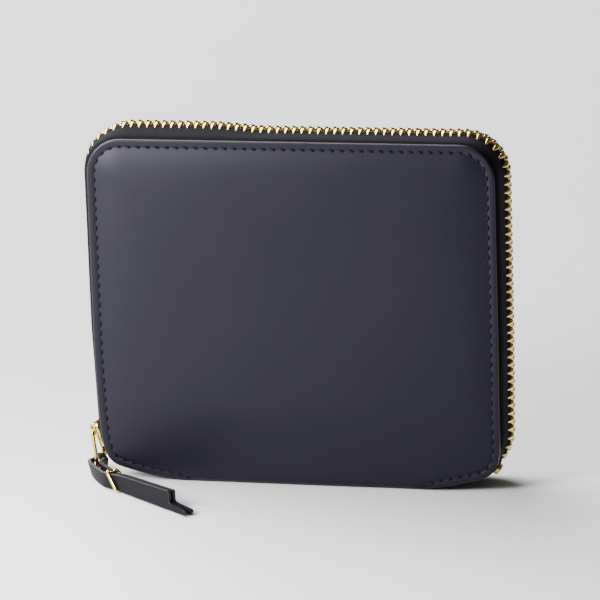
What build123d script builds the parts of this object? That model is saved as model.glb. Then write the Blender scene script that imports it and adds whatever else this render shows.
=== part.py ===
"""Zip around wallet, standing closed on its spine, one STEP file for each piece.

Frame: origin on the floor under the middle of the spine, +X along the spine, +Y to the back
cover, +Z up. The front half lies at negative Y, the back half is its mirror image, and a piece's
depth is its distance from the mid-plane between them. All sizes are in millimetres.
"""
import math
import os

from build123d import *

# ---- driving dimensions ----
COVER_WIDTH = 106.0
COVER_TOP = 89.8
COVER_DEPTH = 8.3          # outer face of a cover at its edge, from the mid-plane
COVER_CROWN = 1.2          # how far the padded middle of a cover stands proud of its edge
LEATHER = 1.2
TOP_RADIUS = 9.0
FOOT_RADIUS = 10.0         # the zip's turn at the two lower corners
TAPER_LEFT = 1.2           # how much the covers narrow towards the spine, on each side
TAPER_RIGHT = 0.4
TAPER_FROM = 40.0
ZIP_FOOT = 3.0
FOLD_RADIUS = 2.0
FOLD_DEPTH = 6.3           # the hinge line where a cover folds off the spine
SPINE_LEFT = -31.5
SPINE_RIGHT = 35.5
HALF_FOOT = 2.35           # lowest edge of a cover panel above the floor
CORNER_FOOT = 4.4          # height of the cut-back leather edge at the lower corners

TEETH_CREST = 2.42         # how far the zip teeth stand beyond the cover's edge
TOOTH_PITCH = 2.12
TOOTH_LENGTH = 1.05
TOOTH_HEIGHT = 2.1
TOOTH_REACH = (0.05, 2.3)  # depths between which a tooth lies
TAPE_OFFSET = (0.9, 1.5)   # inner and outer face of the tape, beyond the cover's edge
TAPE_ROOT = 7.05           # depth of the tape's sewn-in flange
TAPE_FLANGE = (-4.0, 0.35) # how far in the flange reaches, and its thickness

SLIDER_ANGLE = 20.0        # how far round the lower left turn the closed slider sits
SLIDER_HALF_LENGTH = 4.6
SLIDER_HALF_WIDTH = 3.6
SLIDER_HALF_HEIGHT = 1.65
SHIELD = 0.5
BRIDGE_SPAN = (-4.5, -0.7)
BRIDGE_HALF_WIDTH = 0.9
BRIDGE_HEIGHT = 1.95
LINK_ALONG = -2.8          # where the link's upper bar lies over the slider, behind its middle
LINK_HEIGHT = 2.25
LINK_WIRE = 0.5            # wire radius
LINK_WIDTH = 6.4           # between wire centres
LINK_LENGTH = 9.5          # between wire centres
LINK_TILT = 6.5            # how far the strap draws the link in towards the wallet

STRAP_HEIGHT = (0.35, 5.35)
STRAP_THICK = 2.6
STRAP_START = (-46.2, -17.0)
STRAP_END = (-21.8, -36.7)
BAND_WIRE = 0.8

STITCH_PITCH = 2.5
STITCH = (1.6, 0.5, 0.12)  # length, width and height above the leather

BOARD = (6.35, 0.7)        # depth of a layer's inner face, and its thickness
LINING = (5.7, 0.6)
CARD_DEPTH = 5.0
CARD_STEP = 0.9
CARD_LEATHER = 0.6
CARD_WIDTH = 92.0
CARD_TOPS = (78.0, 67.5, 57.0, 46.5)
INNER_HALF_WIDTH = 48.5
INNER_FOOT = 5.0
INNER_TOP = 84.5
NOTE_POCKET = (5.0, 0.6, 74.0)
COIN_DEPTH = 3.4
COIN_LEATHER = 0.6
COIN_ZIP_HEIGHT = 64.0
COIN_ZIP_HALF = 5.0        # half the width of the window that the coin zip fills
COIN_ZIP_REACH = 40.0      # the coin zip's teeth run this far each side of the middle
COIN_PITCH = 1.6

os.makedirs("parts", exist_ok=True)


def save(name, shape):
    export_step(shape, f"parts/{name}.step")


def flip(shape):
    """The same piece in the back half."""
    return mirror(shape, about=Plane.XZ)


def layer(face, depth, thickness):
    """Extrude a face drawn in X and Z from a depth outwards, in the front half."""
    return extrude(Plane.XZ.offset(depth) * face, amount=thickness)


def slab(x0, x1, y0, y1, z0, z1):
    """A box between six faces."""
    centre = ((x0 + x1) / 2, (y0 + y1) / 2, (z0 + z1) / 2)
    return Pos(*centre) * Box(x1 - x0, y1 - y0, z1 - z0)


def panel(half_width, z0, z1, radius):
    """A flat rectangle with rounded corners, in X and Z."""
    return Pos(0, (z0 + z1) / 2) * RectangleRounded(2 * half_width, z1 - z0, radius)


# ---- outlines ----
def loop_corners(n):
    """Corners and radii of the zip's path, n outside the covers' edge, from lower left round."""
    half = COVER_WIDTH / 2
    corners = [
        (-half + TAPER_LEFT - n, ZIP_FOOT - n, FOOT_RADIUS + n),
        (-half - n, TAPER_FROM, 100),
        (-half - n, COVER_TOP + n, TOP_RADIUS + n),
        (half + n, COVER_TOP + n, TOP_RADIUS + n),
        (half + n, TAPER_FROM, 100),
        (half - TAPER_RIGHT + n, ZIP_FOOT - n, FOOT_RADIUS + n),
    ]
    return corners


def rounded(corners):
    """A closed face from (x, z, radius) corners."""
    line = FilletPolyline(*[c[:2] for c in corners], radius=[c[2] for c in corners], close=True)
    return make_face(line.edges())


def loop_face(n):
    return rounded(loop_corners(n))


def loop_path(n):
    """The open path of the zip: up the left side, over the top and down the right side."""
    corners = loop_corners(n)
    foot = ZIP_FOOT - n
    points = [(-30, foot)] + [c[:2] for c in corners] + [(30, foot)]
    return FilletPolyline(*points, radius=[c[2] for c in corners])


def cover_corners(inset):
    """Corners of a cover panel, with its lower corners cut back where it folds under."""
    half = COVER_WIDTH / 2 - inset
    left = half - TAPER_LEFT
    right = half - TAPER_RIGHT
    foot = HALF_FOOT + inset
    cut = CORNER_FOOT + inset
    return [
        (SPINE_LEFT, foot, 8),
        (-left + 1.2, cut, 3),
        (-left, 12, 4),
        (-half, TAPER_FROM, 60),
        (-half, COVER_TOP - inset, TOP_RADIUS - inset / 2),
        (half, COVER_TOP - inset, TOP_RADIUS - inset / 2),
        (half, TAPER_FROM, 60),
        (right, 12, 4),
        (right - 1.2, cut, 3),
        (SPINE_RIGHT, foot, 8),
    ]


# ---- leather covers, boards and linings ----
def cover():
    """One cover: leather turned over a board, its middle padded out in a low crown."""
    edge = layer(rounded(cover_corners(0)), COVER_DEPTH - LEATHER, LEATHER)
    low = Plane.XZ.offset(COVER_DEPTH) * panel(47, 8, COVER_TOP - 5, 8)
    high = Plane.XZ.offset(COVER_DEPTH + COVER_CROWN) * panel(38, 17, COVER_TOP - 14, 6)
    return edge + loft([low, high])


def stitch_path():
    """The seam, a little inside the edge, from lower left round to lower right."""
    half = COVER_WIDTH / 2 - 2.2
    left = half - TAPER_LEFT
    right = half - TAPER_RIGHT
    points = [(-39.6, 5.6), (-left + 0.6, 7.0), (-left, 13), (-half, TAPER_FROM)]
    points += [(-half, COVER_TOP - 2.2), (half, COVER_TOP - 2.2)]
    points += [(half, TAPER_FROM), (right, 13), (right - 0.6, 7.0), (41.0, 5.6)]
    radii = [1.5, 4, 60, TOP_RADIUS - 2.2, TOP_RADIUS - 2.2, 60, 4, 1.5]
    return FilletPolyline(*points, radius=radii)


def along(path, distance):
    """A point on a path drawn in X and Z, and its direction in degrees."""
    share = distance / path.length
    point = path.position_at(share)
    tangent = path.tangent_at(share)
    return point.X, point.Y, math.degrees(math.atan2(tangent.Y, tangent.X))


def stitching():
    """Every stitch of one cover's seam."""
    path = stitch_path()
    count = int(path.length / STITCH_PITCH)
    stitches = []
    for i in range(count):
        x, z, angle = along(path, (i + 0.5) * path.length / count)
        stitch = Pos(x, z) * Rot(0, 0, angle - 12) * Rectangle(STITCH[0], STITCH[1])
        stitches.append(layer(stitch, COVER_DEPTH, STITCH[2]))
    return Compound(children=stitches)


def build_covers():
    front = {
        "cover_leather": cover(),
        "board": layer(panel(47.5, 6, 85, 6), *BOARD),
        "lining": layer(panel(INNER_HALF_WIDTH, INNER_FOOT, INNER_TOP, 6), *LINING),
        "stitching": stitching(),
    }
    for name, shape in front.items():
        save("front_" + name, shape)
        save("back_" + name, flip(shape))


def build_spine():
    """The strip that the wallet stands on, and the two folds that join it to the covers."""
    flat = FOLD_DEPTH - 0.2
    save("spine_leather", slab(-44, 44, -flat, flat, 0, LEATHER))
    save("spine_stiffener", slab(-42, 42, -5, 5, LEATHER, LEATHER + 0.7))
    save("spine_lining", slab(-44, 44, -5, 5, LEATHER + 0.7, LEATHER + 1.2))
    ring = Circle(FOLD_RADIUS) - Circle(FOLD_RADIUS - LEATHER)
    quarter = Pos(-FOLD_RADIUS / 2, -FOLD_RADIUS / 2) * Rectangle(FOLD_RADIUS, FOLD_RADIUS)
    arc = Plane.YZ * (Pos(-FOLD_DEPTH, FOLD_RADIUS + 0.05) * (ring & quarter))
    fold = extrude(arc, amount=42, both=True)
    save("fold_front_leather", fold)
    save("fold_back_leather", flip(fold))


# ---- the zip that runs round three sides ----
def slider_frame():
    """The slider's plane: X across the wallet, Y down to its nose, Z away from the wallet."""
    x, z, _ = foot_point(SLIDER_ANGLE, (TAPE_OFFSET[0] + TAPE_OFFSET[1]) / 2)
    turn = math.radians(SLIDER_ANGLE)
    outward = (-math.cos(turn), 0, -math.sin(turn))
    return Plane(origin=(x, 0, z), x_dir=(0, 1, 0), z_dir=outward)


def foot_point(angle, n):
    """A point on the lower left turn, angle degrees below its start, and the turn's radius."""
    x, z, _ = loop_corners(0)[0]
    radius = FOOT_RADIUS + n
    turn = math.radians(angle)
    cx = x + FOOT_RADIUS - 0.3
    cz = z + FOOT_RADIUS
    return cx - radius * math.cos(turn), cz - radius * math.sin(turn), radius


def in_slider(x0, x1, y0, y1, z0, z1):
    """A box in the slider's own frame."""
    return slider_frame() * slab(x0, x1, y0, y1, z0, z1)


def band(n0, n1, depth0, depth1):
    """A wall that follows the zip's path between two offsets and two depths."""
    return layer(loop_face(n1) - loop_face(n0), depth0, depth1 - depth0)


def tape():
    """Woven tape: a sewn-in flange beside the cover, and a wall that reaches to the teeth."""
    wall = band(*TAPE_OFFSET, TOOTH_REACH[1], TAPE_ROOT)
    flange = band(TAPE_FLANGE[0], TAPE_OFFSET[1], TAPE_ROOT - TAPE_FLANGE[1], TAPE_ROOT)
    low = slab(-48.5, 48.5, -20, 20, -10, 20) + slab(-60, 60, -20, 20, -10, 3.2)
    gap = SLIDER_HALF_WIDTH + 0.15
    reach = SLIDER_HALF_LENGTH + 0.2
    around = in_slider(-gap, gap, -reach, reach, -2.2, 2.2)
    return wall + flange - low - around


def teeth(first):
    """One row of teeth, each a solid, from the slider's tail round to the far end."""
    path = loop_path(TEETH_CREST - TOOTH_HEIGHT / 2)
    start = (slider_frame() * Pos(0, -SLIDER_HALF_LENGTH - 0.4, 0)).position.Z
    row = []
    for i in range(int(path.length / TOOTH_PITCH)):
        x, z, angle = along(path, first + i * TOOTH_PITCH)
        left_leg = x < 0 and z < start + 0.6
        right_end = x > 0 and z < 8
        if left_leg or right_end:
            continue
        tooth = Pos(x, z) * Rot(0, 0, angle) * Rectangle(TOOTH_LENGTH, TOOTH_HEIGHT)
        row.append(layer(tooth, TOOTH_REACH[0], TOOTH_REACH[1] - TOOTH_REACH[0]))
    return Compound(children=row)


def stop(angle_from, angle_to):
    """A metal stop clamped on the tape's end, in the lower left turn below the slider."""
    x, z, _ = foot_point((angle_from + angle_to) / 2, 1.2)
    turn = (angle_from + angle_to) / 2
    face = Pos(x, z) * Rot(0, 0, turn) * Rectangle(1.9, 2.4)
    return layer(face, 0.1, 2.0)


def build_zip():
    tape_front = tape()
    save("zip_tape_front", tape_front)
    save("zip_tape_back", flip(tape_front))
    save("zip_teeth_front", teeth(0.0))
    save("zip_teeth_back", flip(teeth(TOOTH_PITCH / 2)))
    top_stop = stop(50, 58)
    save("zip_top_stop_front", top_stop)
    save("zip_top_stop_back", flip(top_stop))
    save("zip_bottom_stop", slab(49.2, 51.4, -2.2, 2.2, 3.4, 5.6))


# ---- slider, link and leather pull ----
def slider_shape(half_length, half_width, half_height, shield):
    """Two shields joined by a post at the nose, with a slot each side for the tape."""
    x, y, z = half_width, half_length, half_height
    inside = z - shield
    body = slab(-x, x, -y, y, inside, z) + slab(-x, x, -y, y, -z, -inside)
    body += slab(-0.7, 0.7, y - 2.0, y - 0.2, -z, z)
    for side in (-1, 1):
        for up in (-1, 1):
            wall = slab(x - shield, x, -y, y - 1.5, 0.45, inside)
            wall = wall if side > 0 else mirror(wall, about=Plane.YZ)
            body += wall if up > 0 else mirror(wall, about=Plane.XY)
    return body


def bridge_shape(span, half_width, low, height, wire):
    """The arch over the slider that the pull hangs in."""
    arch = slab(-half_width, half_width, *span, low, low + height)
    hole = slab(-half_width, half_width, span[0] + wire, span[1] - wire, low, low + height - wire)
    return arch - hole


def link_axis():
    """Centre of the link's upper bar."""
    return (slider_frame() * Pos(0, LINK_ALONG, LINK_HEIGHT)).position


def link_foot():
    """Centre of the link's lower bar."""
    top = link_axis()
    tilt = math.radians(LINK_TILT)
    return top.X + LINK_LENGTH * math.sin(tilt), top.Z - LINK_LENGTH * math.cos(tilt)


def link():
    """A rectangular wire link, hanging from the bridge."""
    tilt = math.radians(LINK_TILT)
    plane = Plane(origin=link_axis(), x_dir=(0, 1, 0), z_dir=(math.cos(tilt), 0, math.sin(tilt)))
    half = LINK_WIDTH / 2
    corners = [(-half, -LINK_LENGTH), (half, -LINK_LENGTH), (half, 0), (-half, 0)]
    wire = plane * FilletPolyline(*corners, radius=0.9, close=True)
    start = wire.position_at(0)
    section = Plane(origin=start, z_dir=wire.tangent_at(0)) * Circle(LINK_WIRE)
    return sweep(section, path=wire)


def strap():
    """The leather pull: folded round the link's lower bar, then standing on edge."""
    x, z = link_foot()
    loop = slab(x - 2.3, x + 1.75, -2.5, 2.5, 0.1, 3.8)
    bar = Pos(x, 0, z) * Rot(90, 0, 0) * Cylinder(LINK_WIRE + 0.1, 8)
    along_x, along_y, length = strap_direction()
    side = STRAP_THICK / 2
    near = (STRAP_START[0] - along_y * side, STRAP_START[1] + along_x * side)
    far = (STRAP_START[0] + along_y * side, STRAP_START[1] - along_x * side)
    inner = x + 0.77
    outer = x + 2.4
    plan = [(inner, -1.5), (outer, -1.5), (outer, -9.9), near, far, (inner, -12.5)]
    neck = Pos(0, 0, 0.1) * extrude(make_face(Polyline(*plan, close=True).edges()), amount=3.3)
    box = Box(length, STRAP_THICK, STRAP_HEIGHT[1] - STRAP_HEIGHT[0])
    height = sum(STRAP_HEIGHT) / 2
    turn = math.degrees(math.atan2(along_y, along_x))
    middle = [(a + b) / 2 for a, b in zip(STRAP_START, STRAP_END)]
    body = Pos(*middle, height) * Rot(0, 0, turn) * box
    return loop - bar + neck + body


def strap_direction():
    dx = STRAP_END[0] - STRAP_START[0]
    dy = STRAP_END[1] - STRAP_START[1]
    length = math.hypot(dx, dy)
    return dx / length, dy / length, length


def strap_band():
    """Brass wire wound twice round the strap, just after the neck."""
    along_x, along_y, _ = strap_direction()
    turn = math.degrees(math.atan2(along_y, along_x))
    place = Pos(STRAP_START[0] + along_x * 1.2, STRAP_START[1] + along_y * 1.2, 0) * Rot(0, 0, turn)
    low, high = STRAP_HEIGHT
    outside = slab(-0.8, 0.8, -1.3 - BAND_WIRE, 1.3 + BAND_WIRE, low - BAND_WIRE, high + BAND_WIRE)
    inside = slab(-0.8, 0.8, -STRAP_THICK / 2, STRAP_THICK / 2, low, high)
    return place * (outside - inside)


def build_pull():
    body = slider_shape(SLIDER_HALF_LENGTH, SLIDER_HALF_WIDTH, SLIDER_HALF_HEIGHT, SHIELD)
    bridge = bridge_shape(BRIDGE_SPAN, BRIDGE_HALF_WIDTH, SLIDER_HALF_HEIGHT, BRIDGE_HEIGHT, 0.7)
    save("zip_slider_body", slider_frame() * body)
    save("zip_slider_bridge", slider_frame() * bridge)
    save("pull_link", link())
    save("pull_strap", strap())
    save("strap_band", strap_band())


# ---- inside the front half: four card slots ----
def build_card_slots():
    for i, top in enumerate(CARD_TOPS):
        depth = CARD_DEPTH - i * CARD_STEP
        face = panel(CARD_WIDTH / 2, INNER_FOOT + 1, top, 1.5)
        save(f"card_slot_{i + 1}", layer(face, depth, CARD_LEATHER))


# ---- inside the back half: a note pocket, and a coin pocket with its own zip ----
def coin_slider_frame():
    """The coin slider's plane: X up, Y to its nose, Z into the wallet."""
    origin = (-COIN_ZIP_REACH + 2, COIN_DEPTH + 0.3, COIN_ZIP_HEIGHT)
    return Plane(origin=origin, x_dir=(0, 0, 1), z_dir=(0, -1, 0))


def coin_teeth():
    """Two rows of small teeth, meeting along the middle of the coin zip."""
    faces = (COIN_DEPTH - 0.2, COIN_DEPTH + 0.1)
    row = []
    for i in range(int((2 * COIN_ZIP_REACH - 8) / COIN_PITCH)):
        x = COIN_ZIP_REACH - i * COIN_PITCH
        row.append(slab(x, x + 0.8, *faces, COIN_ZIP_HEIGHT + 0.05, COIN_ZIP_HEIGHT + 1.4))
        low = x - COIN_PITCH / 2
        row.append(slab(low, low + 0.8, *faces, COIN_ZIP_HEIGHT - 1.4, COIN_ZIP_HEIGHT - 0.05))
    return Compound(children=row)


def build_coin_pocket():
    depth, leather, top = NOTE_POCKET
    save("note_pocket_panel", flip(layer(panel(INNER_HALF_WIDTH - 1, 6, top, 2), depth, leather)))
    low_top = COIN_ZIP_HEIGHT - COIN_ZIP_HALF
    low = panel(INNER_HALF_WIDTH - 1.5, 6, low_top, 2)
    save("coin_pocket_panel", flip(layer(low, COIN_DEPTH, COIN_LEATHER)))
    high = panel(INNER_HALF_WIDTH - 1.5, COIN_ZIP_HEIGHT + COIN_ZIP_HALF, 78, 2)
    save("coin_pocket_top", flip(layer(high, COIN_DEPTH, COIN_LEATHER)))
    window = panel(COIN_ZIP_REACH + 5, low_top, COIN_ZIP_HEIGHT + COIN_ZIP_HALF, 1)
    tape_face = Plane.XZ.offset(-COIN_DEPTH - 0.5) * window
    frame = coin_slider_frame()
    around = frame * slab(-2.6, 2.6, -3.2, 3.2, -0.6, 0.6)
    save("coin_zip_tape", extrude(tape_face, amount=0.4) - around)
    save("coin_zip_teeth", coin_teeth())
    save("coin_slider_body", frame * slider_shape(3.0, 2.3, 1.15, 0.35))
    save("coin_slider_bridge", frame * bridge_shape((-1.2, 1.8), 0.6, 1.15, 1.3, 0.5))
    save("coin_pull", frame * coin_pull())


def coin_pull():
    """A small flat tab with an eye at its end that swings in the bridge."""
    pin = Pos(0, 0.3, 1.55) * Rot(0, 90, 0) * Cylinder(0.25, 2.4)
    cheek = slab(0.8, 1.2, 0.05, 2.3, 1.3, 1.8)
    tab = slab(-1.2, 1.2, 2.2, 4.2, 1.3, 1.8)
    return pin + cheek + mirror(cheek, about=Plane.YZ) + tab


build_covers()
build_spine()
build_zip()
build_pull()
build_card_slots()
build_coin_pocket()
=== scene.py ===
import math

import bmesh
import bpy
import numpy as np
from mathutils import Matrix, Vector


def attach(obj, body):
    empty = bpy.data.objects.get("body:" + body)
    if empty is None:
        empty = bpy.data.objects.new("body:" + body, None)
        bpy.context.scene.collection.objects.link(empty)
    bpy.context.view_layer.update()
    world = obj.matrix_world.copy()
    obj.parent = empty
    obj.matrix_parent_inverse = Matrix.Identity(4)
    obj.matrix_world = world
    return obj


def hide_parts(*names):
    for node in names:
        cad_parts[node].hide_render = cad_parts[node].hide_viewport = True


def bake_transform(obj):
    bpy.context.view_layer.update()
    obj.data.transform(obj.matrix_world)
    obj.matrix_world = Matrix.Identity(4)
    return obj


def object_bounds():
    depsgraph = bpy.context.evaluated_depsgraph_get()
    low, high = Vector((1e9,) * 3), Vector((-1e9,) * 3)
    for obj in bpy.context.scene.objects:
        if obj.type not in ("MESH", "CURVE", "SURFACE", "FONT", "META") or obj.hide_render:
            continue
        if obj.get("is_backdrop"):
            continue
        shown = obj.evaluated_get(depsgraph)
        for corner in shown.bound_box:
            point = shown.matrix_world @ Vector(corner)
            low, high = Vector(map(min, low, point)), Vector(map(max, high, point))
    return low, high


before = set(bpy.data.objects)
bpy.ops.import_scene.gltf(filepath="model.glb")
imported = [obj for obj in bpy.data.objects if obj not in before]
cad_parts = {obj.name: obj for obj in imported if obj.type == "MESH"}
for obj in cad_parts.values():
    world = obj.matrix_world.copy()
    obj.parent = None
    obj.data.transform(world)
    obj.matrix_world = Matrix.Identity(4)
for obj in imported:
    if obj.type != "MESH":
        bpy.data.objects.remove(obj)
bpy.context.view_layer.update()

# ---- Camera ----
# A long lens about a metre away, a little right of square on and a little above the wallet.
camera_turn = math.radians(13.72)
camera_tilt = math.radians(14.09)
camera_roll = math.radians(1.87)
camera_distance = 0.987
aim = Vector((0, 0, 0.050))
back = Vector((math.sin(camera_turn) * math.cos(camera_tilt),
               -math.cos(camera_turn) * math.cos(camera_tilt),
               math.sin(camera_tilt)))
right = (-back).cross(Vector((0, 0, 1))).normalized()
up = right.cross(-back)
across = right * math.cos(camera_roll) - up * math.sin(camera_roll)
upright = up * math.cos(camera_roll) + right * math.sin(camera_roll)
camera = bpy.data.objects.new("camera", bpy.data.cameras.new("camera"))
camera.matrix_world = Matrix((across, upright, back)).transposed().to_4x4()
camera.location = aim + back * camera_distance
camera.data.lens = 232.6
camera.data.sensor_width = 36
camera.data.shift_x = 0.00135
camera.data.shift_y = -0.0188
camera.data.clip_start = 0.05
bpy.context.scene.collection.objects.link(camera)
bpy.context.scene.camera = camera


# ---- Floor and light ----
# A pale matt card that the wallet stands on, in a pale room. A wide window behind it on the left
# lights the card and the rims, and a small soft lamp near the front left lights the cover.
def linear(code):
    """An sRGB hex colour as the linear values that shaders take."""
    parts = [int(code[i:i + 2], 16) / 255 for i in (1, 3, 5)]
    return [p / 12.92 if p <= 0.04045 else ((p + 0.055) / 1.055) ** 2.4 for p in parts] + [1.0]


def add(tree, kind, inputs, **settings):
    """Adds one node. Inputs are socket names or numbers, each with a value or a socket to link."""
    node = tree.nodes.new(kind)
    for name, value in settings.items():
        setattr(node, name, value)
    for name, value in inputs.items():
        if isinstance(value, bpy.types.NodeSocket):
            tree.links.new(value, node.inputs[name])
        else:
            node.inputs[name].default_value = value
    return node


def new_material(name, **sockets):
    """A material with its shader's own sockets set; underscores stand for spaces."""
    made = bpy.data.materials.new(name)
    made.use_nodes = True
    shader = made.node_tree.nodes["Principled BSDF"]
    for socket, value in sockets.items():
        shader.inputs[socket.replace("_", " ")].default_value = value
    return made, made.node_tree, shader


MM = 0.001


def new_mesh(name, points, faces, material):
    """A smooth-shaded mesh from points in millimetres, its faces turned outwards."""
    data = bpy.data.meshes.new(name)
    data.from_pydata((np.array(points) * MM).tolist(), [], faces)
    work = bmesh.new()
    work.from_mesh(data)
    bmesh.ops.recalc_face_normals(work, faces=work.faces)
    work.to_mesh(data)
    work.free()
    data.shade_smooth()
    data.materials.append(material)
    made = bpy.data.objects.new(name, data)
    bpy.context.scene.collection.objects.link(made)
    return made


card, tree, shader = new_material("matt_card", Roughness=0.9)
tooth = add(tree, "ShaderNodeTexNoise", {"Scale": 900.0, "Detail": 3.0})
shade = add(tree, "ShaderNodeMix", {"Factor": tooth.outputs["Fac"], "A": linear("#dcdcdd"),
                                    "B": linear("#e0e0e1")}, data_type="RGBA")
tree.links.new(shade.outputs["Result"], shader.inputs["Base Color"])
floor = new_mesh("floor", [(-4000, -4000, 0), (4000, -4000, 0), (4000, 4000, 0), (-4000, 4000, 0)],
                 [(0, 1, 2, 3)], card)
floor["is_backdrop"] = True


def soft_light(name, place, target, width, height, watts):
    """A rectangle of light at a place, turned to face its target."""
    data = bpy.data.lights.new(name, "AREA")
    data.shape = "RECTANGLE"
    data.size = width
    data.size_y = height
    data.energy = watts
    lamp = bpy.data.objects.new(name, data)
    lamp.location = place
    lamp.rotation_euler = (Vector(target) - Vector(place)).to_track_quat("-Z", "Y").to_euler()
    bpy.context.scene.collection.objects.link(lamp)


soft_light("near_lamp", (-0.18, -0.20, 0.16), (-0.02, 0, 0.07), 0.14, 0.12, 2.4)
soft_light("window", (-0.9, 0.6, 1.2), (0, 0.1, 0), 1.6, 1.4, 86)
world = bpy.data.worlds.new("room")
world.use_nodes = True
world.node_tree.nodes["Background"].inputs["Color"].default_value = linear("#e6e8ea")
world.node_tree.nodes["Background"].inputs["Strength"].default_value = 0.12
bpy.context.scene.world = world

# ---- Cover leather, one wrap in two halves ----
# One piece of smooth navy calf, 1.15 mm thick, folded under the spine. Its edges are skived,
# folded flat and painted. A thin foam pads its middle, so the panels stand a little proud.
# Each half runs from the middle of the spine, round the fold, to the cover's top edge.
fold_radius = 2.0
fold_depth = 6.3
cover_top = 89.8
calf_thickness = 1.15
top_corner = 9.0
seam_inset = 1.95
crown_height = 1.3
furrow_depth = 0.17
furrow_half_width = 0.34
edge_radius = 0.45
arc_end = fold_depth + math.pi / 2 * fold_radius
leather_length = arc_end + cover_top - fold_radius


def curve_through(points, count):
    """A smooth curve through the points, as a numpy array of count points."""
    p = np.array(points, float)
    p = np.vstack([2 * p[0] - p[1], p, 2 * p[-1] - p[-2]])
    t = np.linspace(0, len(points) - 1, count)
    i = np.minimum(t.astype(int), len(points) - 2)
    f = (t - i)[:, None]
    a, b, c, d = p[i], p[i + 1], p[i + 2], p[i + 3]
    return 0.5 * (2 * b + (c - a) * f + (2 * a - 5 * b + 4 * c - d) * f ** 2
                  + (3 * b - a - 3 * c + d) * f ** 3)


def step(low, high, value):
    """A smooth step from 0 at low to 1 at high."""
    t = np.clip((value - low) / (high - low), 0, 1)
    return t * t * (3 - 2 * t)


# Half widths of the leather at distances from the middle of the spine: narrow under the
# spine, then cut out to the lower corners, then nearly straight.
left_cut = curve_through([(0, 27.5), (3, 28.2), (6.3, 29.8), (7.6, 32.2), (8.4, 36.5), (9.6, 41.8),
                          (10.5, 45.4), (11.4, 48.0), (12.5, 49.5), (13.6, 50.3), (15.2, 51.0),
                          (17.5, 51.6), (20, 51.85), (30, 52.4), (47, 52.7), (90, 52.6)], 900)
right_cut = curve_through([(0, 31), (3, 31.7), (6.9, 33.6), (8.0, 36.0), (8.8, 39.2), (9.6, 42.6),
                           (10.5, 46.2), (11.5, 48.9), (12.5, 50.3), (13.6, 51.2), (15.2, 52.0),
                           (17.5, 52.5), (20, 52.65), (30, 52.6), (47, 52.7), (90, 52.6)], 900)


def leather_half_widths(s):
    """Left and right half widths at distances s from the middle of the spine."""
    into_corner = np.clip(s - (leather_length - top_corner), 0, top_corner)
    lost = top_corner - np.sqrt(np.maximum(top_corner ** 2 - into_corner ** 2, 0))
    left = np.interp(s, left_cut[:, 0], left_cut[:, 1]) - lost
    return left, np.interp(s, right_cut[:, 0], right_cut[:, 1]) - lost


def wrap(x, s, rise, side):
    """Folds flat leather round the wallet. Rise is measured outwards; side is -1 in front."""
    turn = np.clip((s - fold_depth) / fold_radius, 0, math.pi / 2)
    radius = fold_radius + rise
    depth = np.minimum(s, fold_depth) + radius * np.sin(turn)
    z = fold_radius - radius * np.cos(turn) + np.maximum(s - arc_end, 0)
    return np.stack([x, side * depth, z], axis=-1)


corner_start = leather_length - top_corner
corner_turns = np.linspace(0.02, math.pi / 2, 60)
outline_s = np.concatenate([np.linspace(0, 20, 160), np.linspace(20.5, corner_start, 60),
                            corner_start + top_corner * np.sin(corner_turns)])
outline_left, outline_right = leather_half_widths(outline_s)
outline = np.vstack([np.stack([-outline_left, outline_s], 1),
                     np.stack([outline_right, outline_s], 1)[::-1]])


def distance_to(line, x, s):
    """Shortest distance from each point to a line of points."""
    a, b = line[:-1], line[1:]
    best = np.full(x.shape, 1e9)
    for (ax, ay), (bx, by) in zip(a, b):
        length = (bx - ax) ** 2 + (by - ay) ** 2
        if length < 1e-9:
            continue
        t = np.clip(((x - ax) * (bx - ax) + (s - ay) * (by - ay)) / length, 0, 1)
        best = np.minimum(best, (x - ax - t * (bx - ax)) ** 2 + (s - ay - t * (by - ay)) ** 2)
    return np.sqrt(best)


def leather_rise(x, s):
    """How far the leather's face stands out: padded middle, seam furrow and rounded edge."""
    d = distance_to(outline, x, s)
    crown = crown_height * (1 - np.exp(-np.maximum(d - 2.6, 0) / 5.0)) * step(11, 32, s)
    slope = 0.05 * (1 - step(0, seam_inset, d))
    furrow = -furrow_depth * np.exp(-((d - seam_inset) / furrow_half_width) ** 2)
    into_edge = 1 - np.minimum(d, edge_radius) / edge_radius
    round_edge = -0.42 * (1 - np.sqrt(1 - into_edge ** 2))
    wave = 0.07 * np.sin(x / 13.0 + 1.3) * np.sin(s / 17.0 + 0.4) * step(6, 14, d)
    hollow = -0.3 * (1 - step(3.5, 7.5, s))
    return crown + slope * step(7, 10, s) + furrow + round_edge + wave + hollow, d


def shell(name, outer, inner, material, edge, edge_band):
    """A closed leather shell from two grids of points, its rim and edge band painted."""
    rows, cols = outer.shape[:2]
    points = np.concatenate([outer.reshape(-1, 3), inner.reshape(-1, 3)])
    under = rows * cols
    faces = []
    painted = []
    for r in range(rows - 1):
        for c in range(cols - 1):
            a = r * cols + c
            faces.append((a, a + 1, a + cols + 1, a + cols))
            painted.append(edge_band[r, c])
            faces.append((under + a, under + a + cols, under + a + cols + 1, under + a + 1))
            painted.append(False)
    rim = list(range(cols))
    rim += [r * cols + cols - 1 for r in range(1, rows)]
    rim += [(rows - 1) * cols + c for c in range(cols - 2, -1, -1)]
    rim += [r * cols for r in range(rows - 2, 0, -1)]
    for a, b in zip(rim, rim[1:] + rim[:1]):
        faces.append((b, a, under + a, under + b))
        painted.append(True)
    made = new_mesh(name, points.tolist(), faces, material)
    made.data.materials.append(edge)
    made.data.polygons.foreach_set("material_index", np.array(painted, np.int32))
    return made


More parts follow.
